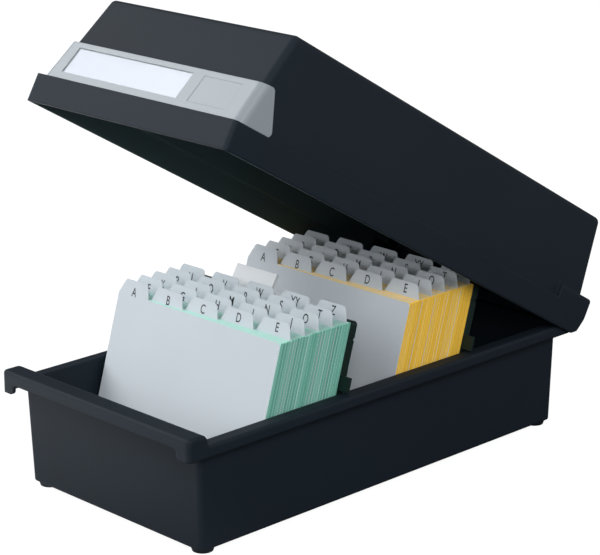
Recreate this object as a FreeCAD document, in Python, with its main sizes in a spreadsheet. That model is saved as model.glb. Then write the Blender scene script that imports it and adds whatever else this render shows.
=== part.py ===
import FreeCAD, Part
import math
import os
import Sketcher
from FreeCAD import Placement, Rotation, Vector

# Card index box: a tray with two packs of A6 cards, a hinged hood lid, two support plates.
# X is the width, front is -Y, up is +Z; z = 0 is the plane of the feet's undersides and
# x = y = 0 is the middle of the tray rim. Millimetres and degrees throughout.

SIZES = {
    # cards and index guides
    "card_wide": 148, "card_tall": 105, "card_lean": 16.3, "guide_thick": 0.3,
    "bundle_thick": 1.88, "leaf_air": 0.02, "bundle_short": 0.5, "bundle_narrow": 0.4,
    "tab_rise": 9.3, "tab_slant": 4.2, "tab_round": 2.6, "guide_round": 1.6, "tab_air": 1.3,
    "tab_back": 1, "tab_edge": 0.3, "tab_lean": 2.1,
    "front_pack_at": -115.8, "rear_pack_at": -3.0, "front_row_gap": 0.37, "rear_row_gap": 0.51,
    # tray rim, front grip bar and apron
    "card_room": 3.6, "tray_wall": 3.2, "rim_reach": 6, "rim_long": 343.2, "rim_top": 71.4,
    "rim_deep": 7.2, "rim_thick": 2.4, "apron_thick": 2.1, "rim_round": 3,
    "bar_deep": 15.6, "bar_rise": 7.15, "bar_thick": 2.2, "bar_wall": 3.2, "bar_round": 4.5,
    "step_round": 2.4, "bar_edge": 2, "notch_end": 10.8, "notch_drop": 0.8, "notch_round": 3,
    # tray shell, feet and card rails
    "front_reach": 12.8, "rear_reach": 8.1, "side_taper": 1.3, "front_taper": 2.8,
    "rear_taper": 1.5, "shell_round": 3.2, "shell_edge": 1.5, "hollow_round": 2,
    "floor_thick": 2.4, "foot_drop": 2.5, "foot_radius": 7.6, "foot_inset": 7.8, "foot_draft": 1.2,
    "rail_at": 45, "rail_wide": 8, "rail_tall": 7.5, "rail_play": 0.05,
    # hinge
    "pivot_reach": 3, "pivot_rise": 6.6, "pin_radius": 1.5, "pin_play": 0.05, "pin_seat": 0.02,
    "hinge_inset": 31.8, "knuckle_wide": 9, "knuckle_round": 4, "side_play": 0.3, "ear_thick": 5.5,
    "ear_foot": 8.6, "ear_under": 1.7, "arm_thick": 4.2,
    "dust_lip_room": 5.1, "dust_lip_thick": 3, "dust_lip_tall": 6.1, "dust_lip_inset": 6,
    # lid
    "lid_open": 29.94, "lid_lap": 7.6, "lid_play": 0.4, "skirt_thick": 2.1, "front_room": 10.7,
    "swing_room": 9.8, "lid_tall": 79.3, "ledge_tall": 17.9, "flange_tall": 26.4,
    "flange_long": 36.5, "lid_wall": 2.2, "hood_inset": 3.4, "hood_front": 6.5,
    "hood_rear": 6.5, "hood_taper": 3.5, "hood_back_taper": 6.5, "face_slope": 19.2,
    "front_trim": 1.55, "lid_corner": 2.5, "hood_round": 4, "hood_edge": 4, "band_round": 2.2,
    "wall_lift": 12.2, "cheek_long": 10, "cheek_mid": 5, "cheek_low": 2.9, "cheek_tall": 16.6,
    "rib_at": 40, "rib_thick": 2, "rib_rest": 0.3, "rib_long": 13, "rib_tall": 20,
    # label holder on the lid face
    "holder_gap": 0.2, "holder_thick": 2.4, "holder_tall": 27, "holder_side": 2,
    "wing_low": 32.6, "wing_high": 22.2, "label_wide": 105,
    "label_tall": 20, "label_thick": 0.4, "label_left": -75, "label_up": 4.6,
    "label_play": 0.3, "label_air": 0.15, "lens_thick": 0.75, "blank_at": 39.5,
    "blank_wide": 32, "blank_tall": 19, "blank_deep": 0.2, "wing_round": 3,
    # support plates
    "plate_thick": 1.8, "plate_foot": 2.1, "plate_over": 0.2, "plate_gap": 0.55, "rear_plate_gap": 0.2,
    "flange_deep": 5.8, "flange_thick": 2, "plate_round": 2.5, "nick_at": 93.3,
    "nick_tall": 1.5, "nick_deep": 0.8, "ear_reach": 8, "ear_slab": 2.2, "ear_at": 62,
    "ear_tall": 9.4, "front_sole": 22, "rear_sole": 27, "sole_thick": 2.2, "sole_air": 0.3,
    "cheek_play": 0.3, "cheek_thick": 2.2, "cheek_drop": 4.5, "gusset_thick": 2,
    "gusset_tall": 18,
    # rider on the front support plate
    "rider_left": -35.6, "rider_wide": 36.4, "rider_tilt": 14.2, "rider_grip": 1.2,
    "rider_air": 0.1, "rider_hook": 3, "sign_thick": 2.2, "sign_tall": 14.4, "sign_foot": 1,
    "insert_thick": 0.4, "insert_play": 0.3, "insert_up": 1.8, "insert_edge": 0.9,
}

# Sizes that follow from the ones above, each written once for all the pieces that share it.
DERIVED = {
    "rim_half": "card_wide / 2 + card_room + tray_wall + rim_reach",
    "wall_half": "card_wide / 2 + card_room + tray_wall",
    "bar_top": "rim_top + bar_rise",
    "bar_back": "-rim_long / 2 + bar_deep",
    "front_wall": "rim_long / 2 - front_reach",
    "rear_wall": "rim_long / 2 - rear_reach",
    "rail_top": "foot_drop + floor_thick + rail_tall",
    "card_floor": "rail_top + rail_play + (guide_thick + leaf_air + bundle_thick) * sin(card_lean)",
    "leaf_pitch": "guide_thick + bundle_thick + 2 * leaf_air",
    "front_row_step": "(5 * leaf_pitch + front_row_gap) / cos(card_lean)",
    "rear_row_step": "(5 * leaf_pitch + rear_row_gap) / cos(card_lean)",
    "front_plate_at": "front_pack_at + 5 * front_row_step + plate_gap",
    "rear_plate_at": "rear_pack_at + 5 * rear_row_step + rear_plate_gap",
    "tab_wide": "card_wide / 5",
    "plate_tall": "card_tall + plate_over",
    "hinge_at": "rim_half - hinge_inset",
    "pivot_at": "rim_long / 2 + pivot_reach",
    "pivot_up": "rim_top + pivot_rise",
    "ear_out": "knuckle_wide / 2 + side_play + ear_thick",
    "lid_half": "rim_half + lid_play + skirt_thick",
    "lid_front": "-(rim_long / 2 + front_room + skirt_thick)",
    "lid_rear": "pivot_at + swing_room + skirt_thick",
    "lid_low": "rim_top - lid_lap",
    "ledge_up": "lid_low + ledge_tall",
    "lid_top": "lid_low + lid_tall",
    "face_front": "lid_front + hood_front",
    "hood_half": "lid_half - hood_inset",
    "hood_back": "lid_rear - hood_rear",
    "face_run": "(lid_tall - ledge_tall) * tan(face_slope)",
    "slot_thick": "label_thick + 2 * label_play",
    "sign_slot": "insert_thick + 2 * insert_play",
}


def write_sheet(doc):
    sheet = doc.addObject("Spreadsheet::Sheet", "sizes")
    for row, (name, value) in enumerate({**SIZES, **DERIVED}.items(), 1):
        sheet.set(f"A{row}", name)
        sheet.set(f"B{row}", f"={value}" if name in DERIVED else str(value))
        sheet.setAlias(f"B{row}", name)
    doc.recompute()
    return sheet


doc = FreeCAD.newDocument("card_index_box")
sheet = write_sheet(doc)
NAMES = sorted({**SIZES, **DERIVED}, key=len, reverse=True)


def tied(text):
    """The expression for a sum of sheet names: each name gets the sheet's own prefix."""
    out, i = "", 0
    while i < len(text):
        starts = i == 0 or not (text[i - 1].isalnum() or text[i - 1] == "_")
        name = next((n for n in NAMES if starts and text.startswith(n, i)), None)
        out += f"sizes.{name}" if name else text[i]
        i += len(name) if name else 1
    return out


def size(name):
    return float(sheet.get(name))


def bind(thing, **values):
    for path, text in values.items():
        thing.setExpression(path.replace("__", "."), tied(text))
    return thing


def put(thing, x, y, z, turn=None):
    """Tie a placement: position, and a turn about the X axis in degrees."""
    if turn:
        thing.Placement = Placement(Vector(), Rotation(Vector(1, 0, 0), -1))
        bind(thing, Placement__Rotation__Angle=turn)
    return bind(thing, Placement__Base__x=x, Placement__Base__y=y, Placement__Base__z=z)


def box(body, sign, name, x, y, z, turn=None):
    """An added (+) or cut (-) box between the pairs of limits x, y and z."""
    kind = "PartDesign::AdditiveBox" if sign == "+" else "PartDesign::SubtractiveBox"
    made = body.newObject(kind, name)
    spans = [f"({high}) - ({low})" for low, high in (x, y, z)]
    bind(made, Length=spans[0], Width=spans[1], Height=spans[2])
    return put(made, x[0], y[0], z[0], turn)


def wedge(body, sign, name, z, low, high):
    """A box whose outline (x0, x1, y0, y1) changes from low to high between the limits z."""
    kind = "PartDesign::AdditiveWedge" if sign == "+" else "PartDesign::SubtractiveWedge"
    made = body.newObject(kind, name)
    made.Placement = Placement(Vector(), Rotation(Vector(1, 0, 0), 90))
    bind(made, Ymax=z[1], Ymin=z[0], Xmax=low[1], Xmin=low[0], Zmax=f"-({low[2]})",
         Zmin=f"-({low[3]})", X2max=high[1], X2min=high[0], Z2max=f"-({high[2]})",
         Z2min=f"-({high[3]})")
    return made


def rod(body, sign, name, x, y, z, radius):
    """An added or cut cylinder along X between the limits x."""
    kind = "PartDesign::AdditiveCylinder" if sign == "+" else "PartDesign::SubtractiveCylinder"
    made = body.newObject(kind, name)
    made.Placement = Placement(Vector(), Rotation(Vector(0, 1, 0), 90))
    bind(made, Radius=radius, Height=f"({x[1]}) - ({x[0]})")
    return put(made, x[0], y, z)


def soften(body, name, radius, along, where):
    """Round the edges whose middle passes the test: straight ones along an axis, or any."""
    doc.recompute()
    last = body.Tip
    chosen = []
    for number, edge in enumerate(last.Shape.Edges, 1):
        ends = [v.Point for v in edge.Vertexes]
        if len(ends) < 2:
            continue
        run = (ends[1] - ends[0]).normalize()
        straight = isinstance(edge.Curve, Part.Line) and abs(run[along or 0]) > 0.9
        if (straight or along is None) and where((ends[0] + ends[1]) * 0.5):
            chosen.append(f"Edge{number}")
    made = body.newObject("PartDesign::Fillet", name)
    made.Base = (last, chosen)
    made.UseAllEdges = False
    bind(made, Radius=radius)
    return made


def near(value, target, slack=0.6):
    return abs(value - target) < slack


def new_body(name):
    return doc.addObject("PartDesign::Body", name)


# ---- tray -----------------------------------------------------------------------------

def at_corner(m, inset):
    """Whether a point lies by an upright corner of the tray's shell, so far inside its outline."""
    front, rear = size("front_wall") - inset, size("rear_wall") - inset
    return near(abs(m.x), size("wall_half") - inset, 1.2 * size("side_taper")) and (
        near(-m.y, front, 1.2 * size("front_taper")) or near(m.y, rear, 1.2 * size("rear_taper")))


def make_tray():
    tray = new_body("tray")
    half, long, top = size("rim_half"), size("rim_long") / 2, size("rim_top")
    across = ("-rim_half", "rim_half")
    front = "-rim_long / 2"
    box(tray, "+", "rim", across, (front, "rim_long / 2"), ("rim_top - rim_deep", "rim_top"))
    box(tray, "+", "bar", across, (front, "bar_back"), ("rim_top - rim_deep", "bar_top"))
    soften(tray, "rim_corners", "rim_round", 2,
           lambda m: near(abs(m.x), half) and near(abs(m.y), long))
    soften(tray, "bar_shoulder", "bar_round", 0,
           lambda m: near(m.z, size("bar_top")) and near(m.y, size("bar_back")))
    soften(tray, "bar_step", "step_round", 0,
           lambda m: near(m.z, top) and near(m.y, size("bar_back"), 1))
    soften(tray, "bar_crown", "bar_edge", 0,
           lambda m: near(m.z, size("bar_top")) and near(m.y, -long))
    inside = ("-rim_half + apron_thick", "rim_half - apron_thick")
    box(tray, "-", "under_rim", inside, (f"{front} + apron_thick", "rim_long / 2 - apron_thick"),
        ("rim_top - rim_deep - 1", "rim_top - rim_thick"))
    box(tray, "-", "under_bar", inside, (f"{front} + apron_thick", "bar_back - bar_wall"),
        ("rim_top - rim_deep", "bar_top - bar_thick"))
    box(tray, "-", "finger_notch", ("-rim_half + notch_end", "rim_half - notch_end"),
        (f"{front} - 1", f"{front} + apron_thick + 0.5"),
        ("rim_top - rim_deep - 1", "rim_top - notch_drop"))
    soften(tray, "notch_corners", "notch_round", 1,
           lambda m: m.y < -long + 3 and near(abs(m.x), half - size("notch_end")))
    wedge(tray, "+", "shell", ("foot_drop", "rim_top"),
          ("-wall_half + side_taper", "wall_half - side_taper",
           "-front_wall + front_taper", "rear_wall - rear_taper"),
          ("-wall_half", "wall_half", "-front_wall", "rear_wall"))
    soften(tray, "shell_corners", "shell_round", 2, lambda m: at_corner(m, 0))
    soften(tray, "shell_edges", "shell_edge", None, lambda m: near(m.z, size("foot_drop"), 0.2))
    wedge(tray, "-", "hollow", ("foot_drop + floor_thick", "rim_top"),
          ("-wall_half + side_taper + tray_wall - 0.7", "wall_half - side_taper - tray_wall + 0.7",
           "-front_wall + front_taper + tray_wall - 0.7", "rear_wall - rear_taper - tray_wall + 0.7"),
          ("-wall_half + tray_wall", "wall_half - tray_wall",
           "-front_wall + tray_wall - 0.4", "rear_wall - tray_wall"))
    soften(tray, "hollow_corners", "hollow_round", 2,
           lambda m: at_corner(m, size("tray_wall")) and m.z < size("rim_top") - size("rim_deep"))
    for x in (-1, 1):
        side = f"{x} * (wall_half - side_taper - foot_inset)"
        for end, y in (("front", "-front_wall + front_taper + foot_inset"),
                       ("rear", "rear_wall - rear_taper - foot_inset")):
            foot = tray.newObject("PartDesign::AdditiveCone", f"foot_{end}_{x + 1}")
            bind(foot, Radius1="foot_radius - foot_draft", Radius2="foot_radius", Height="foot_drop + 1")
            put(foot, side, y, "0")
        box(tray, "+", f"rail_{x + 1}",
            (f"{x} * rail_at - rail_wide / 2", f"{x} * rail_at + rail_wide / 2"),
            ("-front_wall + front_taper + 1", "rear_wall - rear_taper - 1"),
            ("foot_drop + floor_thick - 0.5", "rail_top"))
    box(tray, "+", "dust_lip", ("-rim_half + dust_lip_inset", "rim_half - dust_lip_inset"),
        ("pivot_at - dust_lip_room - dust_lip_thick", "pivot_at - dust_lip_room"),
        ("rim_top - rim_thick / 2", "rim_top + dust_lip_tall"))
    for x in (-1, 1):
        for out in (-1, 1):
            ear = [f"{x} * hinge_at + {out} * (knuckle_wide / 2 + side_play)",
                   f"{x} * hinge_at + {out} * ear_out"][::out]
            name = f"ear_{x + 1}_{out + 1}"
            wedge(tray, "+", name, ("rim_top - ear_under", "pivot_up"),
                  (*ear, "pivot_at - ear_foot", "pivot_at + knuckle_round"),
                  (*ear, "pivot_at - knuckle_round", "pivot_at + knuckle_round"))
            rod(tray, "+", name + "_head", ear, "pivot_at", "pivot_up", "knuckle_round")
        rod(tray, "-", f"pin_bore_{x + 1}", (f"{x} * hinge_at - ear_out - 1",
            f"{x} * hinge_at + ear_out + 1"), "pivot_at", "pivot_up", "pin_radius + pin_seat")
    return tray


def make_pin(side, name):
    pin = doc.addObject("Part::Cylinder", name)
    pin.Placement = Placement(Vector(), Rotation(Vector(0, 1, 0), 90))
    bind(pin, Radius="pin_radius", Height="2 * ear_out")
    return put(pin, f"{side} * hinge_at - ear_out", "pivot_at", "pivot_up")


# ---- lid, modelled closed and then swung open about the hinge ----------------------------

def swing(body):
    """Turn a piece modelled on the closed lid by the opening angle about the hinge axis."""
    body.Placement = Placement(Vector(), Rotation(Vector(1, 0, 0), -1))
    return bind(
        body, Placement__Rotation__Angle="-lid_open",
        Placement__Base__y="pivot_at - pivot_at * cos(lid_open) - pivot_up * sin(lid_open)",
        Placement__Base__z="pivot_up + pivot_at * sin(lid_open) - pivot_up * cos(lid_open)")


def make_lid():
    lid = new_body("lid")
    half, ledge = size("lid_half"), size("ledge_up")
    front, rear = size("lid_front"), size("lid_rear")
    across = ("-lid_half", "lid_half")
    box(lid, "+", "skirt", across, ("lid_front", "lid_rear"), ("lid_low", "ledge_up"))
    box(lid, "+", "rear_band", across, ("lid_rear - flange_long", "lid_rear"),
        ("lid_low", "lid_low + flange_tall"))
    soften(lid, "skirt_corners", "lid_corner", 2,
           lambda m: near(abs(m.x), half) and (near(m.y, front) or near(m.y, rear)))
    soften(lid, "band_crown", "band_round", 0,
           lambda m: near(m.y, rear) and m.z > ledge)
    wedge(lid, "+", "hood", ("ledge_up", "lid_top"),
          ("-hood_half", "hood_half", "face_front", "hood_back"),
          ("-hood_half + hood_taper", "hood_half - hood_taper",
           "face_front + face_run", "hood_back - hood_back_taper"))
    soften(lid, "hood_corners", "hood_round", 2,
           lambda m: m.z > size("lid_low") + size("flange_tall")
           and near(abs(m.x), size("hood_half"), 1.2 * size("hood_taper")))
    top = size("lid_top")
    soften(lid, "hood_crown", "hood_edge", None, lambda m: near(m.z, top, 0.1))
    band = ("-lid_half + skirt_thick", "lid_half - skirt_thick")
    box(lid, "-", "skirt_room", band, ("lid_front + skirt_thick", "lid_rear - skirt_thick"),
        ("lid_low", "ledge_up - lid_wall"))
    box(lid, "-", "band_room", band,
        ("lid_rear - flange_long + skirt_thick", "lid_rear - skirt_thick"),
        ("lid_low", "lid_low + flange_tall - lid_wall"))
    wedge(lid, "-", "hood_room", ("ledge_up - lid_wall", "lid_top - lid_wall"),
          ("-hood_half + lid_wall", "hood_half - lid_wall",
           "face_front + front_trim", "hood_back - lid_wall"),
          ("-hood_half + hood_taper + lid_wall", "hood_half - hood_taper - lid_wall",
           "face_front + face_run + front_trim", "hood_back - hood_back_taper - lid_wall"))
    box(lid, "-", "rear_cut", band, ("lid_rear - skirt_thick", "lid_rear + 1"),
        ("lid_low", "lid_low + wall_lift"))
    beyond = ("-lid_half - 1", "lid_half + 1")
    for name, low, high, shift, out in (
            ("cheek_heel", "0", "cheek_low", "cheek_long", "cheek_mid"),
            ("cheek_back", "cheek_low", "cheek_tall", "cheek_mid", "0")):
        wedge(lid, "-", name, (f"lid_low + {low}", f"lid_low + {high}"),
              (*beyond, f"lid_rear - {shift}", "lid_rear + 1"),
              (*beyond, f"lid_rear - {out}", "lid_rear + 1"))
    for x in (-1, 1):
        knuckle = (f"{x} * hinge_at - knuckle_wide / 2", f"{x} * hinge_at + knuckle_wide / 2")
        rod(lid, "+", f"knuckle_{x + 1}", knuckle, "pivot_at", "pivot_up", "knuckle_round")
        box(lid, "+", f"arm_{x + 1}", knuckle, ("pivot_at", "lid_rear - skirt_thick / 2"),
            ("pivot_up - arm_thick / 2", "pivot_up + arm_thick / 2"))
        rod(lid, "-", f"knuckle_bore_{x + 1}", (knuckle[0] + " - 1", knuckle[1] + " + 1"),
            "pivot_at", "pivot_up", "pin_radius + pin_play")
        rib = (f"{x} * rib_at - rib_thick / 2", f"{x} * rib_at + rib_thick / 2")
        low, high = "bar_top + rib_rest", "bar_top + rib_rest + rib_tall"
        slope = "tan(face_slope)"
        wedge(lid, "+", f"rest_rib_{x + 1}", (low, high),
              (*rib, f"face_front + front_trim / 2 + ({low} - ledge_up) * {slope}",
               "face_front + rib_long"),
              (*rib, f"face_front + front_trim / 2 + ({high} - ledge_up) * {slope}",
               f"face_front + front_trim + 2 + ({high} - ledge_up) * {slope}"))
    return swing(lid)


def on_face(body, sign, name, x, depth, up):
    """A box lying in the sloping lid face: depth runs inward, up runs along the face."""
    made = box(body, sign, name, x, depth, up, turn="-face_slope")
    d, u = f"({depth[0]})", f"({up[0]})"
    return bind(made,
                Placement__Base__y=f"face_front + {d} * cos(face_slope) + {u} * sin(face_slope)",
                Placement__Base__z=f"ledge_up - {d} * sin(face_slope) + {u} * cos(face_slope)")


def make_holder():
    holder = new_body("lid_label_holder")
    lean, low, high = "tan(face_slope)", "ledge_up", "ledge_up + holder_tall"
    skin = "(holder_gap + holder_thick) / cos(face_slope)"
    taper = "hood_taper * holder_tall / (lid_tall - ledge_tall)"
    side = "hood_half + holder_gap + holder_side"
    wedge(holder, "+", "wrap", (low, high),
          (f"-({side})", side, f"face_front - {skin}", "lid_front + wing_low"),
          (f"-({side}) + {taper}", f"{side} - {taper}",
           f"face_front - {skin} + holder_tall * {lean}", "lid_front + wing_high"))
    soften(holder, "wrap_corners", "hood_round + holder_side", 2,
           lambda m: m.y < size("face_front") + size("wing_low") / 3)
    front = size("face_front") + size("wing_low") / 3
    soften(holder, "wing_corners", "wing_round", 0, lambda m: m.y > front)
    gap = "holder_gap / cos(face_slope)"
    grow = "hood_taper / (lid_tall - ledge_tall)"
    wedge(holder, "-", "hood_space", (low, f"{high}"),
          ("-hood_half - holder_gap", "hood_half + holder_gap",
           f"face_front - {gap}", "lid_front + wing_low + 9"),
          (f"-hood_half - holder_gap + {taper}", f"hood_half + holder_gap - {taper}",
           f"face_front - {gap} + holder_tall * {lean}", "lid_front + wing_low + 9"))
    soften(holder, "space_corners", "hood_round", 2,
           lambda m: m.y < front and near(abs(m.x), size("hood_half") + size("holder_gap") - 1, 1.6))
    slot = ("-(holder_gap + lens_thick + slot_thick)", "-(holder_gap + lens_thick)")
    on_face(holder, "-", "label_slot",
            ("label_left - label_air", "label_left + label_wide + label_air"), slot,
            ("label_up - label_air", "holder_tall + 9"))
    on_face(holder, "-", "blank_square", ("blank_at", "blank_at + blank_wide"),
            ("-(holder_gap + holder_thick) - 1", "-(holder_gap + holder_thick) + blank_deep"),
            ("label_up", "label_up + blank_tall"))
    return swing(holder)


def make_label():
    label = new_body("lid_label_card")
    front = "-(holder_gap + lens_thick + slot_thick) + label_play"
    on_face(label, "+", "paper", ("label_left", "label_left + label_wide"),
            (front, f"{front} + label_thick"), ("label_up", "label_up + label_tall"))
    return swing(label)


# ---- cards: rows of five, each guide with its tab and a bundle of cards behind it --------

def draw(sketch, points):
    """A closed outline whose corners are tied to the sheet; the sketch's X and Y axes are fixed."""
    count = len(points)
    turns = [2 * math.pi * i / count for i in range(count)]
    reach = size("card_tall") / 3
    start = [Vector(reach * math.cos(t), reach * (1.5 + math.sin(t)), 0) for t in turns]
    for i in range(count):
        sketch.addGeometry(Part.LineSegment(start[i], start[(i + 1) % count]))
    for i in range(count):
        sketch.addConstraint(Sketcher.Constraint("Coincident", i, 2, (i + 1) % count, 1))
        for kind, text in zip(("DistanceX", "DistanceY"), points[i]):
            rule = sketch.addConstraint(Sketcher.Constraint(kind, -1, 1, i, 1, 5.0))
            sketch.setExpression(f"Constraints[{rule}]", tied(text))


def make_guide(place):
    """One index guide: a card-size sheet with its tab in one of the five places."""
    sketch = doc.addObject("Sketcher::SketchObject", f"guide_outline_{place}")
    sketch.Placement = Placement(Vector(), Rotation(Vector(1, 0, 0), 90))
    left, right = f"-card_wide / 2 + {place} * tab_wide", f"-card_wide / 2 + {place + 1} * tab_wide"
    top, peak = "card_tall", "card_tall + tab_rise"
    shoulder = [("-card_wide / 2", f"{top} - guide_round"), (f"-card_wide / 2 + guide_round", top)]
    corner = [("card_wide / 2 - guide_round", top), ("card_wide / 2", f"{top} - guide_round")]
    foot = "-card_wide / 2 + tab_edge" if place == 0 else f"{left} - tab_back"
    tip = f"{right} - tab_air - tab_lean"
    tab = [(foot, top),
           (f"{foot} + tab_slant", f"{peak} - 0.5 * tab_round"),
           (f"{foot} + tab_slant + 0.5 * tab_round", peak),
           (f"{tip} - tab_round", peak),
           (f"{tip} - 0.3 * tab_round", f"{peak} - 0.3 * tab_round"),
           (tip, f"{peak} - tab_round"),
           (f"{right} - tab_air", top)]
    ends = ([] if place == 0 else shoulder[1:]), ([] if place == 4 else corner[:1])
    points = ([("-card_wide / 2", "0.001")] + shoulder[:1] + ends[0] + tab + ends[1]
              + corner[1:] + [("card_wide / 2", "0.001")])
    draw(sketch, points)
    guide = doc.addObject("Part::Extrusion", f"guide_{place}")
    guide.Base = sketch
    guide.DirMode = "Normal"
    guide.Reversed = True
    guide.Solid = True
    bind(guide, LengthFwd="guide_thick")
    step = f"{place} * leaf_pitch"
    return put(guide, "0", f"{step} / cos(card_lean)", "0", turn="-card_lean")


def make_bundle(place):
    """The record cards kept behind one guide."""
    bundle = doc.addObject("Part::Box", f"bundle_{place}")
    bind(bundle, Length="card_wide - bundle_narrow", Width="bundle_thick",
         Height="card_tall - bundle_short")
    behind = f"({place} * leaf_pitch / cos(card_lean) + (guide_thick + leaf_air) * cos(card_lean))"
    return put(bundle, "-(card_wide - bundle_narrow) / 2", behind,
               "-(guide_thick + leaf_air) * sin(card_lean)", turn="-card_lean")


def make_rows():
    guides = doc.addObject("Part::Compound", "guide_row")
    guides.Links = [make_guide(place) for place in range(5)]
    bundles = doc.addObject("Part::Compound", "bundle_row")
    bundles.Links = [make_bundle(place) for place in range(5)]
    nodes = []
    for pack in ("front", "rear"):
        for row, letters in enumerate(("a_e", "f_j", "k_o", "p_t", "u_z")):
            for kind, source in (("guides", guides), ("cards", bundles)):
                node = doc.addObject("Part::Compound", f"{pack}_{kind}_{letters}")
                node.Links = [source]
                put(node, "0", f"{pack}_pack_at + {row} * {pack}_row_step", "card_floor")
                nodes.append(node)
    return nodes


# ---- support plates and rider -------------------------------------------------------------

def make_support(place):
    """A ribbed plate that leans like the cards, with two soles that run on the tray's rails."""
    at = f"{place}_plate_at"
    panel = new_body(f"{place}_panel")
    half = ("-card_wide / 2", "card_wide / 2")
    box(panel, "+", "slab", half, ("0", "flange_deep"), ("plate_foot", "plate_tall"))
    soften(panel, "slab_corners", "plate_round", 1, lambda m: True)
    box(panel, "-", "back_room", ("-card_wide / 2 + flange_thick", "card_wide / 2 - flange_thick"),
        ("plate_thick", "flange_deep + 1"),
        ("plate_foot + flange_thick", "plate_tall - flange_thick"))
    for x in (-1, 1):
        edge = [f"{x} * (card_wide / 2 - nick_deep)", f"{x} * (card_wide / 2 + 1)"][::x]
        box(panel, "-", f"nick_{x + 1}", edge, ("-1", "flange_deep + 1"),
            ("nick_at", "nick_at + nick_tall"))
        ear = [f"{x} * (card_wide / 2 - flange_thick)", f"{x} * (card_wide / 2 + ear_reach)"][::x]
        box(panel, "+", f"ear_{x + 1}", ear, ("0", "ear_slab"), ("ear_at", "ear_at + ear_tall"))
    put(panel, "0", at, "card_floor", turn="-card_lean")
    soles = new_body(f"{place}_soles")
    low = "rail_top + sole_air"
    for x in (-1, 1):
        middle = f"{x} * rail_at"
        reach = "rail_wide / 2 + cheek_play + cheek_thick"
        box(soles, "+", f"sole_{x + 1}", (f"{middle} - ({reach})", f"{middle} + {reach}"),
            ("0.9", f"{place}_sole"), (low, f"{low} + sole_thick"))
        for out in (-1, 1):
            cheek = [f"{middle} + {out} * (rail_wide / 2 + cheek_play)",
                     f"{middle} + {out} * ({reach})"][::out]
            box(soles, "+", f"cheek_{x + 1}_{out + 1}", cheek, ("3", f"{place}_sole"),
                (f"{low} - cheek_drop", low))
        wedge(soles, "+", f"gusset_{x + 1}", (low, f"{low} + gusset_tall"),
              (f"{middle} - gusset_thick / 2", f"{middle} + gusset_thick / 2",
               "0.9", f"{place}_sole - 1"),
              (f"{middle} - gusset_thick / 2", f"{middle} + gusset_thick / 2",
               "1 + gusset_tall * tan(card_lean)", "2.6 + gusset_tall * tan(card_lean)"))
    put(soles, "0", at, "0")
    node = doc.addObject("Part::MultiFuse", f"support_plate_{place}")
    node.Shapes = [panel, soles]
    return node


def tilted(body, sign, name, x, depth, up):
    """A box in the rider's sign, which leans further back than the plate it is clipped to."""
    made = box(body, sign, name, x, depth, up, turn="-rider_tilt")
    d, u = f"({depth[0]})", f"({up[0]})"
    foot = "plate_tall + rider_air"
    return bind(made, Placement__Base__y=f"{d} * cos(rider_tilt) + {u} * sin(rider_tilt) - 0.1",
                Placement__Base__z=f"{foot} - {d} * sin(rider_tilt) + {u} * cos(rider_tilt)")


def make_rider():
    rider = new_body("plate_rider")
    wide = ("rider_left", "rider_left + rider_wide")
    back = "flange_deep + rider_air"
    box(rider, "+", "saddle", wide, ("0.2", f"{back} + rider_grip"),
        ("plate_tall + rider_air", "plate_tall + rider_air + rider_grip"))
    box(rider, "+", "back_lip", wide, (back, f"{back} + rider_grip"),
        ("plate_tall - flange_thick - rider_air - rider_grip", "plate_tall + rider_air"))
    box(rider, "+", "hook", wide, (f"{back} - rider_hook", back),
        ("plate_tall - flange_thick - rider_air - rider_grip",
         "plate_tall - flange_thick - rider_air"))
    tilted(rider, "+", "sign", wide, ("0", "sign_thick"), ("sign_thick * 0.28", "sign_tall"))
    tilted(rider, "-", "insert_slot",
           ("rider_left + insert_edge - 0.15", "rider_left + rider_wide - insert_edge + 0.15"),
           ("(sign_thick - sign_slot) / 2", "(sign_thick + sign_slot) / 2"),
           ("insert_up - 0.15", "sign_tall + 1"))
    return put(rider, "0", "front_plate_at", "card_floor", turn="-card_lean")


def make_insert():
    insert = new_body("rider_insert")
    tilted(insert, "+", "paper", ("rider_left + insert_edge",
           "rider_left + rider_wide - insert_edge"),
           ("(sign_thick - insert_thick) / 2", "(sign_thick + insert_thick) / 2"),
           ("insert_up", "sign_tall - 0.2"))
    return put(insert, "0", "front_plate_at", "card_floor", turn="-card_lean")


nodes = [make_tray(), make_pin(-1, "hinge_pin_left"), make_pin(1, "hinge_pin_right"),
         make_lid(), make_holder(), make_label(),
         make_support("front"), make_support("rear"), make_rider(), make_insert(), *make_rows()]
doc.recompute()

for thing in doc.Objects:
    if "Invalid" in thing.State or "Error" in thing.State:
        raise RuntimeError(f"{thing.Name} did not recompute")
os.makedirs("parts", exist_ok=True)
for node in nodes:
    if node.Shape.isNull() or not node.Shape.isValid() or not node.Shape.Solids:
        raise RuntimeError(f"{node.Label} has no valid solid")
    node.Shape.exportStep(f"parts/{node.Label}.step")
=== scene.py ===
import math
import random

import bmesh
import bpy
from bpy.props import FloatProperty, FloatVectorProperty, IntProperty, PointerProperty
from mathutils import Matrix, Vector


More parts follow.
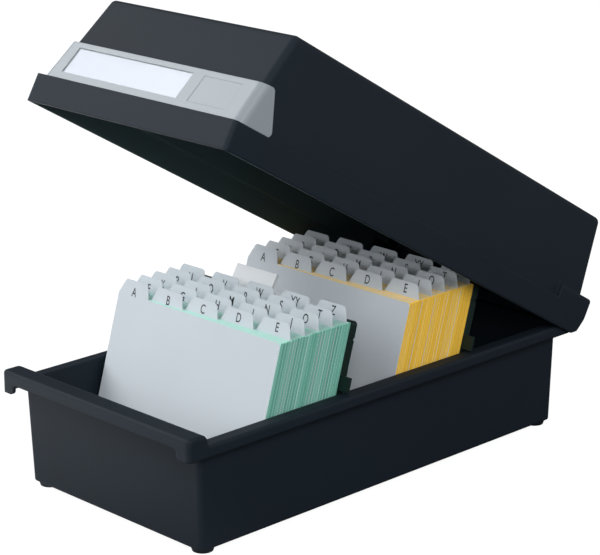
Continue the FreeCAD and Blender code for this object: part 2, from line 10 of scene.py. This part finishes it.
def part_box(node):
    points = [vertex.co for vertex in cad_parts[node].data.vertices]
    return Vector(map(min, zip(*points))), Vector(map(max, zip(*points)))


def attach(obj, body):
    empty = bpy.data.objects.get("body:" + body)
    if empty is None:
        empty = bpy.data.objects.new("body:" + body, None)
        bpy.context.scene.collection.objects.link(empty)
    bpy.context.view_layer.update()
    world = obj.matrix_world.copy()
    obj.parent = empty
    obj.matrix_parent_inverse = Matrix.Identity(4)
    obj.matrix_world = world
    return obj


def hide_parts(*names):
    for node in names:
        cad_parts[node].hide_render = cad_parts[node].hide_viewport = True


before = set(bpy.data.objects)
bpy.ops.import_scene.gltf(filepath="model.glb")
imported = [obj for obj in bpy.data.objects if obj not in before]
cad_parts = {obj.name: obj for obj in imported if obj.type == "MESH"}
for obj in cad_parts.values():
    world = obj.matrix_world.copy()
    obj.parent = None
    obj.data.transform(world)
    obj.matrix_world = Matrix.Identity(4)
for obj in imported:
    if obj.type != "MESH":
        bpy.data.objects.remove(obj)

bl_info = {
    "name": "Card index box",
    "version": (1, 0, 0),
    "blender": (4, 5, 0),
    "location": "3D View > Sidebar > Card box",
    "description": "Finishes, lettering, record cards and stage for a card index box",
    "category": "Object",
}

ROWS = ("a_e", "f_j", "k_o", "p_t", "u_z")
LETTERS = ("A B C D E", "F G H I J", "K L M N O", "P Q R S T", "U V W XY Z")
PACKS = ("front", "rear")
LEAN = math.radians(16.3)          # the cards lean back by this much

LID_OPEN = math.radians(29.94)
LID_SLOPE = math.radians(19.2)     # of the label face, lid closed, back from upright
LID_FACE = LID_SLOPE + LID_OPEN    # the same with the lid held open
HINGE = Vector((0, 0.1746, 0.078))

# the closed lid, in metres
LID_LEDGE, LID_TOP = 0.0817, 0.1431     # heights at which its hood starts and ends
LID_FRONT = -0.1779                     # Y of the label face's foot
LID_BACK = 0.166                        # Y of the middle of the rear wall
FACE_DEEP = 0.005                       # from the label face to the plane that bounds the inside
HALF_WALL = 0.0011                      # half the thickness of its walls
HOOD_LOW, HOOD_HIGH = 0.0848, 0.0813    # half the hood's width, to mid-wall, at foot and top
SKIRT_WIDER = 0.0035                    # what the skirt adds to that on each side

# roughness, shine and edge radius of the mouldings
SHELL_FINISH = (0.65, 0.2, 0.002)
SUPPORT_FINISH = (0.45, 0.25, 0.0005)
RIDER_FINISH = (0.55, 0.25, 0.0003)


def linear(code):
    """An sRGB hex colour as the linear values that shaders take."""
    parts = [int(code[i:i + 2], 16) / 255 for i in (1, 3, 5)]
    return tuple(p / 12.92 if p <= 0.04045 else ((p + 0.055) / 1.055) ** 2.4 for p in parts)


def colour(label, about, code):
    return FloatVectorProperty(name=label, description=about, subtype="COLOR", size=3,
                               min=0.0, max=1.0, default=linear(code))


def length(label, about, metres):
    return FloatProperty(name=label, description=about, unit="LENGTH", default=metres, min=0.0)


class CardBoxColours(bpy.types.PropertyGroup):
    shell: colour("Shell", "Moulded tray and lid", "#131d26")
    # painted bounce light on the lid's inner faces, lighter than the shell's own colour
    core: colour("Inside, painted light", "Inside of the lid", "#46575a")
    support: colour("Support plates", "Plates behind the packs", "#10221e")
    guide: colour("Guides", "Lettered guide sheets", "#c3cbd2")
    ink: colour("Ink", "Letters on the tabs", "#23282d")
    # the pale ends also colour the cards' faces and tops; on the tops that is painted light from
    # above
    green_deep: colour("Front cards, deep", "Darkest record cards of the front pack", "#46917e")
    green_pale: colour("Front cards, pale", "Palest record cards of the front pack", "#a9e0d1")
    yellow_deep: colour("Rear cards, deep", "Darkest record cards of the rear pack", "#e0ae22")
    yellow_pale: colour("Rear cards, pale", "Palest record cards of the rear pack", "#ffdc70")
    paper: colour("Label paper", "Label cards in the holders", "#cacdd0")
    rider: colour("Rider", "Frosted rider on the front plate", "#d7dbdf")
    holder: colour("Label holder", "Frosted part of the label holder", "#889096")


class CardBoxSizes(bpy.types.PropertyGroup):
    letter: length("Letter height", "Height of the capitals on the tabs", 0.0058)
    letter_up: length("Letter place", "Foot of the middle letter above the guide's top edge",
                      0.0007)
    letter_climb: length("Letter climb", "Rise of the print from one tab to the next", 0.0007)
    sheet: length("Card thickness", "One record card", 0.000236)
    sheets: IntProperty(name="Cards", description="Record cards behind each guide",
                        default=8, min=1)
    grain: length("Mould grain", "Spacing of the spark-eroded grain on the shell", 0.0006)


# ---- small tools -------------------------------------------------------------------------

def add_node(tree, kind, links=(), **settings):
    """Adds a node, sets its sockets and properties, and links (socket, from_node, output)."""
    made = tree.nodes.new(kind)
    for key, value in settings.items():
        if key in made.inputs:
            made.inputs[key].default_value = value
        elif hasattr(made, key):
            setattr(made, key, value)
        else:
            made.inputs[key.replace("_", " ")].default_value = value
    for socket, source, output in links:
        tree.links.new(source.outputs[output], made.inputs[socket])
    return made


def new_material(name, **settings):
    """A material with its tree cleared to an output and a Principled shader with these sockets."""
    made = bpy.data.materials.new(name)
    made.use_nodes = True
    tree = made.node_tree
    tree.nodes.clear()
    shader = add_node(tree, "ShaderNodeBsdfPrincipled", **settings)
    add_node(tree, "ShaderNodeOutputMaterial", [("Surface", shader, "BSDF")])
    return made, tree, shader


def show(tree, shader):
    """Makes this shader the material's surface."""
    output = next(n for n in tree.nodes if n.bl_idname == "ShaderNodeOutputMaterial")
    tree.links.new(shader.outputs[0], output.inputs["Surface"])


def where_all(tree, tests, inside=None):
    """One where inside and every test (node, output, operation, limit) hold, otherwise zero."""
    for source, output, test, limit in tests:
        side = add_node(tree, "ShaderNodeMath", [(0, source, output)], operation=test)
        side.inputs[1].default_value = limit
        if inside is not None:
            side = add_node(tree, "ShaderNodeMath", [(0, side, 0), (1, inside, 0)],
                            operation="MULTIPLY")
        inside = side
    return inside


def look():
    """The colours and the sizes that the user can change."""
    return bpy.context.scene.card_box_colours, bpy.context.scene.card_box_sizes


def dress(node, material):
    """Gives a carried-over CAD node its finish."""
    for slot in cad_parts[node].material_slots:
        slot.material = material


def finish_piece(name, mesh_data, material, body, replaced=()):
    """Puts a finished bmesh into the scene as a piece that rides on a body."""
    mesh = bpy.data.meshes.new(name)
    mesh_data.to_mesh(mesh)
    mesh_data.free()
    mesh.materials.append(material)
    piece = bpy.data.objects.new(name, mesh)
    bpy.context.scene.collection.objects.link(piece)
    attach(piece, body)
    if replaced:
        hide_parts(*replaced)


# ---- materials ---------------------------------------------------------------------------

def moulded_styrene(name, tint, roughness, shine, edge):
    """Injection-moulded polystyrene: a fine spark-eroded grain that dulls the shine, with
    small radii on every edge that catch a thin line of light."""
    made, tree, shader = new_material(name, IOR=1.5, Specular_IOR_Level=shine)
    place = add_node(tree, "ShaderNodeTexCoord")
    grain = add_node(tree, "ShaderNodeTexNoise", [("Vector", place, "Object")],
                     Scale=1 / look()[1].grain, Detail=3.0, Roughness=0.6)
    # slow drift of tone over about 60 mm, as moulded plastic has where it cooled unevenly
    drift = add_node(tree, "ShaderNodeTexNoise", [("Vector", place, "Object")],
                     Scale=1 / 0.06, Detail=2.0)
    tone = add_node(tree, "ShaderNodeValToRGB", [("Fac", drift, "Fac")])
    tone.color_ramp.elements[0].position, tone.color_ramp.elements[1].position = 0.3, 0.7
    tone.color_ramp.elements[0].color = (*[c * 0.95 for c in tint], 1)
    tone.color_ramp.elements[1].color = (*[min(1, c * 1.05) for c in tint], 1)
    gloss = add_node(tree, "ShaderNodeMapRange", [("Value", grain, "Fac")],
                     To_Min=roughness - 0.05, To_Max=roughness + 0.05)
    round_edge = add_node(tree, "ShaderNodeBevel", samples=6, Radius=edge)
    bump = add_node(tree, "ShaderNodeBump", Strength=0.12, Distance=0.00005,
                    links=[("Height", grain, "Fac"), ("Normal", round_edge, "Normal")])
    tree.links.new(tone.outputs["Color"], shader.inputs["Base Color"])
    tree.links.new(gloss.outputs["Result"], shader.inputs["Roughness"])
    tree.links.new(bump.outputs["Normal"], shader.inputs["Normal"])
    return made


def lid_styrene(tint):
    """The lid's polystyrene, grained outside and in like the tray. Its inner faces take a lighter,
    greyer and a little green colour: painted bounce light, for the light thrown up into the hood."""
    made = moulded_styrene("textured_polystyrene_lid", tint, *SHELL_FINISH)
    tree = made.node_tree
    shader = next(n for n in tree.nodes if n.bl_idname == "ShaderNodeBsdfPrincipled")
    skin = shader.inputs["Base Color"].links[0].from_node
    inside = lid_hollow(tree)
    both = add_node(tree, "ShaderNodeMix", data_type="RGBA")
    tree.links.new(inside.outputs[0], both.inputs[0])
    tree.links.new(skin.outputs["Color"], both.inputs[6])
    # the inner faces take the painted bounce light colour in place of the shell's
    both.inputs[7].default_value = (*look()[0].core, 1)
    tree.links.new(both.outputs[2], shader.inputs["Base Color"])
    return made


def lid_hollow(tree):
    """One where a point lies on the inner faces of the lid, by planes half way through its
    walls. They are given as for the closed lid, so the point is swung shut first."""
    place = add_node(tree, "ShaderNodeTexCoord")
    shut = Matrix.Rotation(LID_OPEN, 3, "X")
    turned = add_node(tree, "ShaderNodeMapping", [("Vector", place, "Object")],
                      Rotation=(LID_OPEN, 0, 0), Location=HINGE - shut @ HINGE)
    axes = add_node(tree, "ShaderNodeSeparateXYZ", [("Vector", turned, "Vector")])
    across = add_node(tree, "ShaderNodeMath", [(0, axes, "X")], operation="ABSOLUTE")
    # half the width within the walls: the hood narrows upwards, the skirt under it is wider
    hood = add_node(tree, "ShaderNodeMapRange", [("Value", axes, "Z")],
                    From_Min=LID_LEDGE, From_Max=LID_TOP, To_Min=HOOD_LOW, To_Max=HOOD_HIGH)
    skirt = where_all(tree, [(axes, "Z", "LESS_THAN", LID_LEDGE - HALF_WALL)])
    reach = add_node(tree, "ShaderNodeMath", [(0, skirt, 0), (2, hood, 0)],
                     operation="MULTIPLY_ADD")
    reach.inputs[1].default_value = SKIRT_WIDER
    inside = add_node(tree, "ShaderNodeMath", [(0, across, 0), (1, reach, 0)],
                      operation="LESS_THAN")
    # the label face leans back, so its plane is taken along its own normal
    normal = Vector((0, -math.cos(LID_SLOPE), math.sin(LID_SLOPE)))
    ahead = add_node(tree, "ShaderNodeVectorMath", [(0, turned, "Vector")],
                     operation="DOT_PRODUCT")
    ahead.inputs[1].default_value = normal
    face = Vector((0, LID_FRONT, LID_LEDGE)).dot(normal)
    return where_all(tree, [(axes, "Z", "LESS_THAN", LID_TOP - HALF_WALL),
                            (axes, "Y", "LESS_THAN", LID_BACK),
                            (ahead, "Value", "LESS_THAN", face - FACE_DEEP)], inside)


def paper_edges(name, deep, pale):
    """Tinted record card, guillotined: the cut edges of a stack differ a little in tone."""
    made, tree, shader = new_material(name, Roughness=0.85, Specular_IOR_Level=0.25)
    shade = add_node(tree, "ShaderNodeAttribute", attribute_name="shade")
    ramp = add_node(tree, "ShaderNodeValToRGB", [("Fac", shade, "Fac")])
    ramp.color_ramp.elements[0].color = (*deep, 1)
    ramp.color_ramp.elements[1].color = (*pale, 1)
    place = add_node(tree, "ShaderNodeTexCoord")
    fibre = add_node(tree, "ShaderNodeTexNoise", [("Vector", place, "Object")],
                     Scale=1 / 0.0008, Detail=4.0)
    bump = add_node(tree, "ShaderNodeBump", [("Height", fibre, "Fac")], Strength=0.1,
                    Distance=0.00003)
    tree.links.new(ramp.outputs["Color"], shader.inputs["Base Color"])
    tree.links.new(bump.outputs["Normal"], shader.inputs["Normal"])
    return made


def guide_sheet():
    """Calendered polypropylene sheet: pale grey, satin, with a faint pebble from the rollers."""
    tint = look()[0].guide
    made, tree, shader = new_material("calendered_polypropylene", Roughness=0.55,
                                      Specular_IOR_Level=0.2)
    place = add_node(tree, "ShaderNodeTexCoord")
    pebble = add_node(tree, "ShaderNodeTexNoise", [("Vector", place, "Object")],
                      Scale=1 / 0.0012, Detail=2.0)
    cloud = add_node(tree, "ShaderNodeTexNoise", [("Vector", place, "Object")],
                     Scale=1 / 0.04, Detail=1.0)
    tone = add_node(tree, "ShaderNodeValToRGB", [("Fac", cloud, "Fac")])
    tone.color_ramp.elements[0].color = (*[c * 0.96 for c in tint], 1)
    tone.color_ramp.elements[1].color = (*tint, 1)
    bump = add_node(tree, "ShaderNodeBump", [("Height", pebble, "Fac")], Strength=0.15,
                    Distance=0.00003)
    tree.links.new(tone.outputs["Color"], shader.inputs["Base Color"])
    tree.links.new(bump.outputs["Normal"], shader.inputs["Normal"])
    return made


def white_card():
    """Uncoated white card: matt, with the faint cloudiness of its fibres."""
    tint = look()[0].paper
    made, tree, shader = new_material("uncoated_white_card", Roughness=0.9,
                                      Specular_IOR_Level=0.2)
    place = add_node(tree, "ShaderNodeTexCoord")
    fibre = add_node(tree, "ShaderNodeTexNoise", [("Vector", place, "Object")],
                     Scale=1 / 0.0015, Detail=5.0)
    tone = add_node(tree, "ShaderNodeValToRGB", [("Fac", fibre, "Fac")])
    tone.color_ramp.elements[0].color = (*[c * 0.96 for c in tint], 1)
    tone.color_ramp.elements[1].color = (*tint, 1)
    tree.links.new(tone.outputs["Color"], shader.inputs["Base Color"])
    return made


def black_ink():
    """Screen-printed ink: nearly black and a little glossier than the sheet under it."""
    return new_material("screen_printed_ink", Base_Color=(*look()[0].ink, 1), Roughness=0.45)[0]


def steel_wire():
    """Drawn steel wire: bright, with fine lines round it from the die."""
    made, tree, shader = new_material("drawn_steel_wire", Metallic=1.0,
                                      Base_Color=(*linear("#c3c5c7"), 1))
    place = add_node(tree, "ShaderNodeTexCoord")
    lines = add_node(tree, "ShaderNodeTexNoise", [("Vector", place, "Object")],
                     Scale=1 / 0.0004, Detail=2.0)
    gloss = add_node(tree, "ShaderNodeMapRange", [("Value", lines, "Fac")], To_Min=0.25, To_Max=0.4)
    tree.links.new(gloss.outputs["Result"], shader.inputs["Roughness"])
    return made


def holder_styrene(left, right, foot, top):
    """Clear polystyrene, satin outside and polished over the label, where it is see-through.
    The window's sides are given across and along the label face, with the lid held open."""
    made, tree, shader = new_material("satin_clear_polystyrene", Roughness=0.38,
                                      Base_Color=(*look()[0].holder, 1))
    place = add_node(tree, "ShaderNodeTexCoord")
    turned = add_node(tree, "ShaderNodeMapping", [("Vector", place, "Object")],
                      Rotation=(LID_FACE, 0, 0))
    axes = add_node(tree, "ShaderNodeSeparateXYZ", [("Vector", turned, "Vector")])
    inside = where_all(tree, [(axes, "X", "GREATER_THAN", left), (axes, "X", "LESS_THAN", right),
                              (axes, "Z", "GREATER_THAN", foot), (axes, "Z", "LESS_THAN", top)])
    grain = add_node(tree, "ShaderNodeTexNoise", [("Vector", place, "Object")],
                     Scale=1 / 0.0009, Detail=2.0)
    round_edge = add_node(tree, "ShaderNodeBevel", samples=6, Radius=0.0005)
    bump = add_node(tree, "ShaderNodeBump", Strength=0.1, Distance=0.00003,
                    links=[("Height", grain, "Fac"), ("Normal", round_edge, "Normal")])
    tree.links.new(bump.outputs["Normal"], shader.inputs["Normal"])
    clear = add_node(tree, "ShaderNodeBsdfTransparent", Color=(0.97, 0.98, 1.0, 1))
    shine = add_node(tree, "ShaderNodeBsdfGlossy", Roughness=0.12)
    veil = add_node(tree, "ShaderNodeMixShader", [(1, clear, 0), (2, shine, 0)])
    veil.inputs[0].default_value = 0.03
    both = add_node(tree, "ShaderNodeMixShader", [(0, inside, 0), (1, shader, 0), (2, veil, 0)])
    show(tree, both)
    return made


# ---- operators, one for each piece or group ----------------------------------------------

class CARDBOX_OT_shell(bpy.types.Operator):
    """Finish the tray, the lid and the hinge pins"""
    bl_idname = "cardbox.shell"
    bl_label = "Tray and lid"

    def execute(self, context):
        tint = look()[0].shell
        dress("tray", moulded_styrene("textured_polystyrene", tint, *SHELL_FINISH))
        dress("lid", lid_styrene(tint))
        wire = steel_wire()
        dress("hinge_pin_left", wire)
        dress("hinge_pin_right", wire)
        return {"FINISHED"}


class CARDBOX_OT_supports(bpy.types.Operator):
    """Finish the two support plates"""
    bl_idname = "cardbox.supports"
    bl_label = "Support plates"

    def execute(self, context):
        plastic = moulded_styrene("polished_polystyrene", look()[0].support, *SUPPORT_FINISH)
        for place in PACKS:
            dress(f"support_plate_{place}", plastic)
        return {"FINISHED"}


class CARDBOX_OT_labels(bpy.types.Operator):
    """Finish the label holder, the rider and the cards in them"""
    bl_idname = "cardbox.labels"
    bl_label = "Labels"

    def execute(self, context):
        white = white_card()
        dress("lid_label_card", white)
        dress("rider_insert", white)
        low, high = (Vector(corner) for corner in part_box("lid_label_card"))
        up_face = Vector((0, math.sin(LID_FACE), math.cos(LID_FACE)))
        foot, top = sorted((low.dot(up_face), high.dot(up_face)))
        # the clear window ends inside the card's edge, further in where it is seen from the side
        near, far = 0.0003, 0.0009
        dress("lid_label_holder",
              holder_styrene(low.x + far, high.x - near, foot + near, top - far))
        dress("plate_rider",
              moulded_styrene("frosted_polystyrene", look()[0].rider, *RIDER_FINISH))
        return {"FINISHED"}


class CARDBOX_OT_guides(bpy.types.Operator):
    """Finish the guide sheets and print the letters on their tabs"""
    bl_idname = "cardbox.guides"
    bl_label = "Guides and letters"

    def execute(self, context):
        sheet, ink = guide_sheet(), black_ink()
        for pack in PACKS:
            for row, letters in zip(ROWS, LETTERS):
                node = f"{pack}_guides_{row}"
                dress(node, sheet)
                print_letters(f"{pack}_letters_{row}", node, letters.split(),
                              f"{pack}_{row}", ink)
        return {"FINISHED"}


class CARDBOX_OT_cards(bpy.types.Operator):
    """Stack the record cards behind each guide"""
    bl_idname = "cardbox.cards"
    bl_label = "Record cards"

    def execute(self, context):
        colours = look()[0]
        for pack, name, deep, pale in (
                ("front", "green_record_card", colours.green_deep, colours.green_pale),
                ("rear", "yellow_record_card", colours.yellow_deep, colours.yellow_pale)):
            card = paper_edges(name, deep, pale)
            for number, row in enumerate(ROWS):
                stack_cards(pack, row, number, card)
        return {"FINISHED"}


# ---- what the operators make -------------------------------------------------------------

CARD_WIDE, CARD_TALL, TAB_WIDE = 0.148, 0.105, 0.0296
GUIDE_THICK, LEAF_PITCH = 0.0003, 0.00222
UP = Vector((0, math.sin(LEAN), math.cos(LEAN)))
BACK = Vector((0, math.cos(LEAN), -math.sin(LEAN)))

CAPITAL, NARROWED = 0.7, 0.74               # height of a capital in the type, and its set width
INK_THICK, INK_SPREAD = 0.00002, 0.00008    # half the print's thickness, and its bolder strokes
INK_OFF = 0.00003                           # the print stands this far in front of the sheet
TAB_SHIFT, LAST_TAB_SHIFT = -0.0006, 0.001  # letters off their tabs' middles, to the right

# ranges of the random draws, from dark to pale for a shade and in metres for the others
PROUD = {"front": (-0.0001, 0.0004), "rear": (0.0001, 0.0004)}  # past the guides' side edges
GROUND, SPREAD = (0, 0.5), (0, 0.35)        # shade of a bundle, and what one card adds to it
UNEVEN_TALL, UNEVEN_WIDE = (-0.0002, 0.0004), (0, 0.0001)
UNEVEN_SIDE = (-0.00005, 0.00005)


def leaf_place(node, place):
    """The lower front edge of the guide in the given place of a row, at the middle."""
    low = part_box(node)[0]
    foot = Vector((0, low[1], low[2] + GUIDE_THICK * math.sin(LEAN)))
    return foot + Vector((0, place * LEAF_PITCH / math.cos(LEAN), 0))


def print_letters(name, node, letters, body, ink):
    """A row's letters as one piece, each laid on the front of its guide's tab."""
    sizes = look()[1]
    page = bmesh.new()
    for place, word in enumerate(letters):
        curve = bpy.data.curves.new("letter", "FONT")
        curve.body = word
        curve.align_x = "CENTER"
        curve.size = sizes.letter / CAPITAL
        curve.extrude = INK_THICK
        curve.offset = INK_SPREAD
        flat = bpy.data.objects.new("letter", curve)
        bpy.context.scene.collection.objects.link(flat)
        bpy.context.view_layer.update()
        mesh = bpy.data.meshes.new_from_object(flat.evaluated_get(
            bpy.context.evaluated_depsgraph_get()))
        bpy.data.objects.remove(flat)
        shift = LAST_TAB_SHIFT if place == len(letters) - 1 else TAB_SHIFT
        middle = -CARD_WIDE / 2 + (place + 0.5) * TAB_WIDE + shift
        foot = leaf_place(node, place) - BACK * INK_OFF
        rise = sizes.letter_up + (place - 2) * sizes.letter_climb
        spot = foot + UP * (CARD_TALL + rise) + Vector((middle, 0, 0))
        # the letter's own X runs across the tab, its Y up the tab, its Z out of the sheet
        turn = Matrix(((NARROWED, 0, 0), (0, UP.y, -BACK.y), (0, UP.z, -BACK.z))).to_4x4()
        mesh.transform(Matrix.Translation(spot) @ turn)
        page.from_mesh(mesh)
        bpy.data.meshes.remove(mesh)
    bmesh.ops.remove_doubles(page, verts=page.verts, dist=1e-7)
    finish_piece(name, page, ink, body)


def stack_cards(pack, row, number, card):
    """A row's five bundles as single cards, each a little off its neighbours."""
    sizes = look()[1]
    pick = random.Random(100 * PACKS.index(pack) + number)
    stack = bmesh.new()
    shade = stack.faces.layers.float.new("shade")
    pitch = (LEAF_PITCH - GUIDE_THICK) / sizes.sheets
    axes = Matrix((Vector((1, 0, 0)), BACK, UP)).transposed().to_4x4()
    for place in range(5):
        foot = leaf_place(f"{pack}_guides_{row}", place)
        # cards that stand a little proud of the guides hide most of the guides' pale edges
        proud = pick.uniform(*PROUD[pack])
        ground = pick.uniform(*GROUND)
        for sheet in range(sizes.sheets):
            tall = CARD_TALL + pick.uniform(*UNEVEN_TALL)
            wide = CARD_WIDE + 2 * proud - pick.uniform(*UNEVEN_WIDE)
            middle = (foot + BACK * (GUIDE_THICK + (sheet + 0.5) * pitch) + UP * tall / 2
                      + Vector((pick.uniform(*UNEVEN_SIDE), 0, 0)))
            size = Matrix.Diagonal((wide, sizes.sheet, tall, 1))
            made = bmesh.ops.create_cube(
                stack, size=1, matrix=Matrix.Translation(middle) @ axes @ size)
            tone = ground + pick.uniform(*SPREAD)
            for face in {f for v in made["verts"] for f in v.link_faces}:
                face.normal_update()
                # the cut side edges are deeper in colour than the cards' faces; the tops, cut edges
                # too, are painted pale as painted light from above
                face[shade] = 0.6 * tone if abs(face.normal.x) > 0.5 else 0.85 + 0.15 * tone
    finish_piece(f"{pack}_record_sheets_{row}", stack, card, f"{pack}_{row}",
                 (f"{pack}_cards_{row}",))


# name, place, width and height, brightness of its face; all are aimed at LAMP_AIM
LAMPS = (("key_softbox", (-0.7, -1.35, 1.15), (2.6, 1.6), 1.55),
         ("left_softbox", (-1.2, -0.6, 1.15), (1.5, 1.1), 3.3),
         ("fill_softbox", (1.55, -0.85, 1.2), (1.4, 1.1), 6),
         ("back_softbox", (1.2, 1.35, 1.0), (1.2, 0.8), 1.5),
         ("low_softbox", (1.25, -1.25, 0.22), (1.0, 0.4), 1),
         ("top_softbox", (-0.1, 1.0, 1.7), (1.4, 1.2), 1))
LAMP_AIM = Vector((0, 0, 0.12))
FLOOR_SEEN, WORLD_SEEN = 0.95, 0.8      # strengths that the camera sees, over what lamps add
WORLD_LIGHT, WORLD_SHINE = 0.2, -0.14   # the room's own light, and what reflections take off it
LENS, SENSOR = 137.45, 36               # mm
CAMERA_TURN, CAMERA_RISE = math.radians(45.55), math.radians(17.03)
CAMERA_AIM = Vector((0, 0, 0.0373))     # and from there, along the camera's own axes:
CAMERA_AWAY, CAMERA_RIGHT, CAMERA_UP = 1.48953, 0.00179, 0.07942


class CARDBOX_OT_stage(bpy.types.Operator):
    """Lay the floor and set the lamps, the world and the camera"""
    bl_idname = "cardbox.stage"
    bl_label = "Stage"

    def execute(self, context):
        scene = context.scene
        scene.view_settings.view_transform = "Standard"
        lay_floor()
        light_world(scene)
        for lamp in LAMPS:
            hang_lamp(*lamp)
        set_camera(scene)
        return {"FINISHED"}


def lay_floor():
    """A wide paper floor, dark enough to keep the shadow and white to the camera."""
    sheet = bmesh.new()
    bmesh.ops.create_grid(sheet, x_segments=2, y_segments=2, size=4)
    mesh = bpy.data.meshes.new("floor")
    sheet.to_mesh(mesh)
    sheet.free()
    made, tree, shader = new_material("matt_white_paper", Roughness=0.9,
                                      Base_Color=(*linear("#4c4e50"), 1))
    # in reflections it is dark round the box, and lightens over the half metre to its front left
    # and a little far off at its rear right
    place = add_node(tree, "ShaderNodeTexCoord")
    towards = add_node(tree, "ShaderNodeVectorMath", [(0, place, "Object")],
                       operation="DOT_PRODUCT")
    towards.inputs[1].default_value = (-0.71, -0.71, 0)
    near = add_node(tree, "ShaderNodeMapRange", [("Value", towards, "Value")],
                    From_Min=0.0, From_Max=0.5, To_Min=0.0, To_Max=3.1)
    far = add_node(tree, "ShaderNodeMapRange", [("Value", towards, "Value")],
                   From_Min=-0.35, From_Max=-0.8, To_Min=0.0, To_Max=0.45)
    shine = add_node(tree, "ShaderNodeMath", [(0, near, 0), (1, far, 0)], operation="ADD")
    glow = add_node(tree, "ShaderNodeEmission",
                    [("Strength", seen_white(tree, FLOOR_SEEN, shine), 0)])
    show(tree, add_node(tree, "ShaderNodeAddShader", [(0, shader, 0), (1, glow, 0)]))
    mesh.materials.append(made)
    floor = bpy.data.objects.new("floor", mesh)
    bpy.context.scene.collection.objects.link(floor)


def seen_white(tree, seen, shine):
    """The strength that lifts a backdrop to white for the camera and through clear plastic.
    The node shine gives it for reflections: dark mouldings would turn grey under full white."""
    ray = add_node(tree, "ShaderNodeLightPath")
    through = add_node(tree, "ShaderNodeMath", operation="MAXIMUM",
                       links=[(0, ray, "Is Camera Ray"), (1, ray, "Is Transmission Ray")])
    straight = add_node(tree, "ShaderNodeMath", [(0, through, 0)], operation="MULTIPLY")
    straight.inputs[1].default_value = seen
    sheen = add_node(tree, "ShaderNodeMath", operation="MULTIPLY",
                     links=[(0, ray, "Is Glossy Ray"), (1, shine, 0)])
    return add_node(tree, "ShaderNodeMath", [(0, straight, 0), (1, sheen, 0)], operation="ADD")


def light_world(scene):
    """A dim even room for the object: white to the camera, nearly black in reflections."""
    world = bpy.data.worlds.new("studio")
    world.use_nodes = True
    tree = world.node_tree
    tree.nodes.clear()
    shine = add_node(tree, "ShaderNodeValue")
    shine.outputs[0].default_value = WORLD_SHINE
    power = add_node(tree, "ShaderNodeMath", [(0, seen_white(tree, WORLD_SEEN, shine), 0)],
                     operation="ADD")
    power.inputs[1].default_value = WORLD_LIGHT
    sky = add_node(tree, "ShaderNodeBackground", [("Strength", power, 0)], Color=(1, 1, 1, 1))
    add_node(tree, "ShaderNodeOutputWorld", [("Surface", sky, 0)])
    scene.world = world


def hang_lamp(name, place, size, glow):
    """A softbox aimed at the box, of the given width and height and brightness of its face."""
    lamp = bpy.data.lights.new(name, "AREA")
    lamp.shape = "RECTANGLE"
    lamp.size, lamp.size_y = size
    lamp.energy = math.pi * size[0] * size[1] * glow
    made = bpy.data.objects.new(name, lamp)
    made.location = place
    aim = LAMP_AIM - Vector(place)
    made.rotation_euler = aim.to_track_quat("-Z", "Y").to_euler()
    bpy.context.scene.collection.objects.link(made)


def set_camera(scene):
    turn, rise = CAMERA_TURN, CAMERA_RISE
    right = Vector((math.cos(turn), math.sin(turn), 0))
    away = Vector((math.sin(turn) * math.cos(rise), -math.cos(turn) * math.cos(rise),
                   math.sin(rise)))
    up = away.cross(right)
    lens = bpy.data.cameras.new("camera")
    lens.sensor_width, lens.lens = SENSOR, LENS
    made = bpy.data.objects.new("camera", lens)
    spot = CAMERA_AIM + away * CAMERA_AWAY + right * CAMERA_RIGHT + up * CAMERA_UP
    made.matrix_world = Matrix.Translation(spot) @ Matrix((right, up, away)).transposed().to_4x4()
    scene.collection.objects.link(made)
    scene.camera = made


# ---- add-on ------------------------------------------------------------------------------

class CARDBOX_PT_panel(bpy.types.Panel):
    """Lists the pieces of the card box and their colours and sizes"""
    bl_idname = "CARDBOX_PT_panel"
    bl_label = "Card index box"
    bl_space_type = "VIEW_3D"
    bl_region_type = "UI"
    bl_category = "Card box"

    def draw(self, context):
        for group in (context.scene.card_box_colours, context.scene.card_box_sizes):
            for key in group.__annotations__:
                self.layout.prop(group, key)
        for step in STEPS:
            self.layout.operator(step.bl_idname)


STEPS = (CARDBOX_OT_shell, CARDBOX_OT_supports, CARDBOX_OT_labels, CARDBOX_OT_guides,
         CARDBOX_OT_cards, CARDBOX_OT_stage)
CLASSES = (CardBoxColours, CardBoxSizes, *STEPS, CARDBOX_PT_panel)


def register():
    for one in CLASSES:
        bpy.utils.register_class(one)
    bpy.types.Scene.card_box_colours = PointerProperty(type=CardBoxColours)
    bpy.types.Scene.card_box_sizes = PointerProperty(type=CardBoxSizes)


def unregister():
    del bpy.types.Scene.card_box_sizes
    del bpy.types.Scene.card_box_colours
    for one in reversed(CLASSES):
        bpy.utils.unregister_class(one)


def main():
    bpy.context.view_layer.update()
    register()
    for step in STEPS:
        group, name = step.bl_idname.split(".")
        getattr(getattr(bpy.ops, group), name)()


if __name__ == "__main__":
    main()
